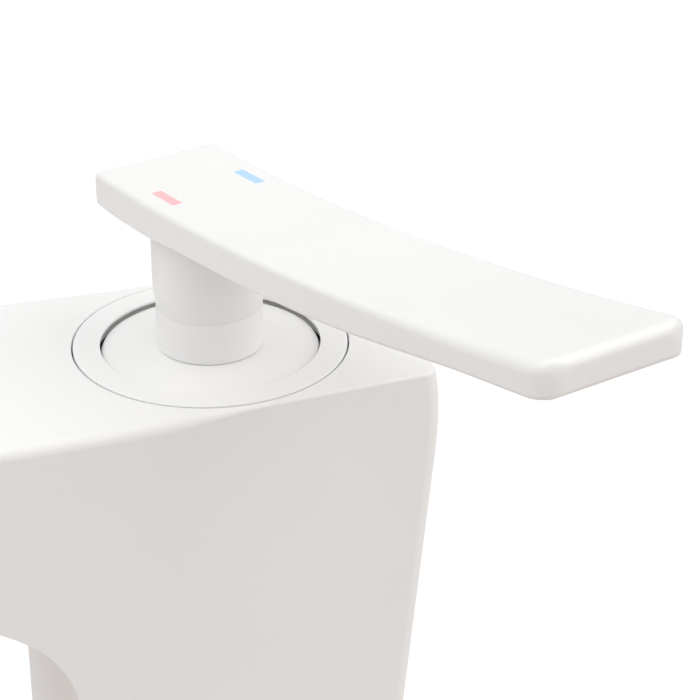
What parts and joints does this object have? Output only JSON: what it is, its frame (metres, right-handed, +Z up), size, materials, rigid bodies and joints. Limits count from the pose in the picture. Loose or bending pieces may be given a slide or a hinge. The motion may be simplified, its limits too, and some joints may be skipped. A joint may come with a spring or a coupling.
{
  "type": "single-lever mixer tap",
  "caption": "White deck-mounted mixer tap: block pillar with a flared spout, a tilting disc cap in a trim ring and a long upswept side paddle lever with hot and cold marks.",
  "frame": {"origin": "the point of the worktop, and of the base gasket's lower face, under the lever's turning axis", "axes": "+Z up along the turning axis and the threaded shank; the spout points along -X and the plain end along +X; at its neutral place the lever points along -Y"},
  "size_m": [0.1888, 0.1436, 0.2527],
  "materials": {
    "body_lacquer": "satin white lacquer",
    "ring_lacquer": "satin white lacquer",
    "cap_lacquer": "satin white lacquer",
    "lever_lacquer": "satin white lacquer",
    "hot_print": "pale red print",
    "cold_print": "pale blue print",
    "seal_rubber": "matt black",
    "cast_brass": "machined",
    "valve_plastic": "moulded",
    "insert_plastic": "moulded",
    "disc_ceramic": "ground",
    "steel": "satin",
    "copper": "drawn copper",
    "outlet_chrome": "polished"
  },
  "bodies": {
    "tap_body": {"body_shell": "body_lacquer", "trim_ring": "ring_lacquer", "base_gasket": "seal_rubber", "rubber_washer": "seal_rubber", "outlet_seal": "seal_rubber", "hot_seal": "seal_rubber", "cold_seal": "seal_rubber", "aerator_seal": "seal_rubber", "base_plate": "cast_brass", "valve_block": "cast_brass", "clamp_nut": "cast_brass", "shank": "cast_brass", "mounting_nut": "cast_brass", "hot_tail_nut": "cast_brass", "cold_tail_nut": "cast_brass", "cartridge_base": "valve_plastic", "cartridge_housing": "valve_plastic", "aerator_insert": "insert_plastic", "fixed_disc": "disc_ceramic", "clamp_washer": "steel", "hot_tail_pipe": "steel", "cold_tail_pipe": "steel", "outlet_tube": "copper", "aerator_housing": "outlet_chrome"},
    "turret": {"turret": "valve_plastic", "pivot_pin": "steel"},
    "ceramic_slide": {"moving_disc": "disc_ceramic", "drive_plate": "valve_plastic"},
    "lever": {"lever": "lever_lacquer", "hot_mark": "hot_print", "cold_mark": "cold_print", "neck_collar": "cap_lacquer", "dome_cap": "cap_lacquer", "spindle": "steel", "set_screw": "steel", "screw_plug": "lever_lacquer"}
  },
  "joints": [
    {"name": "mix_turn", "type": "hinge", "parent": "tap_body", "child": "turret", "pos_m": [0, 0, 0.1015], "axis": [0, 0, 1], "range_deg": [-65.6, 34.4]},
    {"name": "flow_lift", "type": "hinge", "parent": "turret", "child": "lever", "pos_m": [0, 0, 0.1015], "axis": [-0.9632, -0.2689, 0], "range_deg": [0, 20]},
    {"name": "disc_slide", "type": "slide", "parent": "turret", "child": "ceramic_slide", "axis": [0.2689, -0.9632, 0], "range_m": [0, 0.007]}
  ],
  "couplings": [
    {"joint": "disc_slide", "follows": "flow_lift", "m_per_rad": 0.0199}
  ]
}
